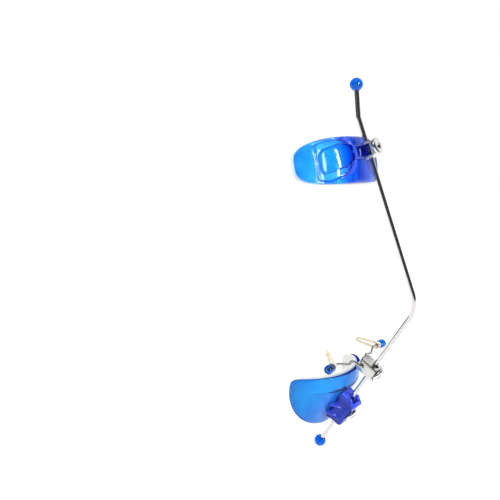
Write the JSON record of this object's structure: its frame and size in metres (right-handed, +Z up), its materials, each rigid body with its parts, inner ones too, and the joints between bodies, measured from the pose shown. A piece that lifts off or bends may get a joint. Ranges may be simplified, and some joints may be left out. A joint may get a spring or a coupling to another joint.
{
  "type": "orthodontic reverse-pull face mask",
  "caption": "Adjustable face mask for forward jaw traction: a bent centre rod carries a swivelling forehead pad, a tilting crossbar with elastic bands and a chin cup, each held by a clamp screw.",
  "frame": {"origin": "centre of the inner face of the forehead foam, where the mask rests on the forehead", "axes": "+X to the wearer's left, +Y towards the wearer, +Z up; the middle plane of the mask is X = 0"},
  "size_m": [0.0916, 0.0704, 0.2598],
  "materials": {
    "blue_plastic": "clear cobalt blue moulded plastic, high gloss",
    "foam": "soft white closed-cell foam",
    "steel": "satin stainless steel",
    "polished_wire": "polished stainless steel wire",
    "latex": "cream natural latex"
  },
  "bodies": {
    "forehead_pad": {"forehead_shell": "blue_plastic", "forehead_liner": "foam"},
    "forehead_clamp": {"forehead_strap": "steel"},
    "forehead_screw": {"forehead_clamp_screw": "steel"},
    "rod": {"main_rod": "polished_wire", "rod_cap_top": "blue_plastic", "rod_cap_bottom": "blue_plastic"},
    "crossbar_clamp": {"crossbar_block": "steel"},
    "crossbar_screw": {"block_clamp_screw": "steel"},
    "crossbar": {"crossbar_wire": "polished_wire", "crossbar_cap_right": "blue_plastic", "crossbar_cap_left": "blue_plastic", "elastic_band_right": "latex", "elastic_band_left": "latex"},
    "chin_cup": {"chin_shell": "blue_plastic", "chin_liner": "foam", "chin_nut": "steel"},
    "chin_screw": {"chin_clamp_screw": "steel"}
  },
  "joints": [
    {"name": "pad_swivel", "type": "hinge", "parent": "forehead_pad", "child": "forehead_clamp", "pos_m": [0, -0.01017, 0.00717], "axis": [0, 0.3971, 0.9178], "range_deg": [-12, 12]},
    {"name": "forehead_screw_turn", "type": "hinge", "parent": "forehead_clamp", "child": "forehead_screw", "pos_m": [0, -0.01577, 0.0096], "axis": [0, -0.9178, 0.3971], "continuous": true},
    {"name": "rod_slide", "type": "slide", "parent": "forehead_clamp", "child": "rod", "axis": [0, 0.3971, 0.9178], "range_m": [-0.014, 0.04]},
    {"name": "crossbar_slide", "type": "slide", "parent": "rod", "child": "crossbar_clamp", "axis": [0, -0.4955, 0.8686], "range_m": [-0.006, 0.03]},
    {"name": "crossbar_screw_turn", "type": "hinge", "parent": "crossbar_clamp", "child": "crossbar_screw", "pos_m": [0, -0.0296, -0.14082], "axis": [0, -0.8686, -0.4955], "continuous": true},
    {"name": "crossbar_tilt", "type": "hinge", "parent": "crossbar_clamp", "child": "crossbar", "pos_m": [0, -0.01913, -0.13485], "axis": [1, 0, 0], "range_deg": [-10, 25]},
    {"name": "chin_slide", "type": "slide", "parent": "rod", "child": "chin_cup", "axis": [0, -0.4955, 0.8686], "range_m": [-0.012, 0.004]},
    {"name": "chin_screw_turn", "type": "hinge", "parent": "chin_cup", "child": "chin_screw", "pos_m": [0, -0.01025, -0.17474], "axis": [0, -0.8686, -0.4955], "continuous": true}
  ]
}
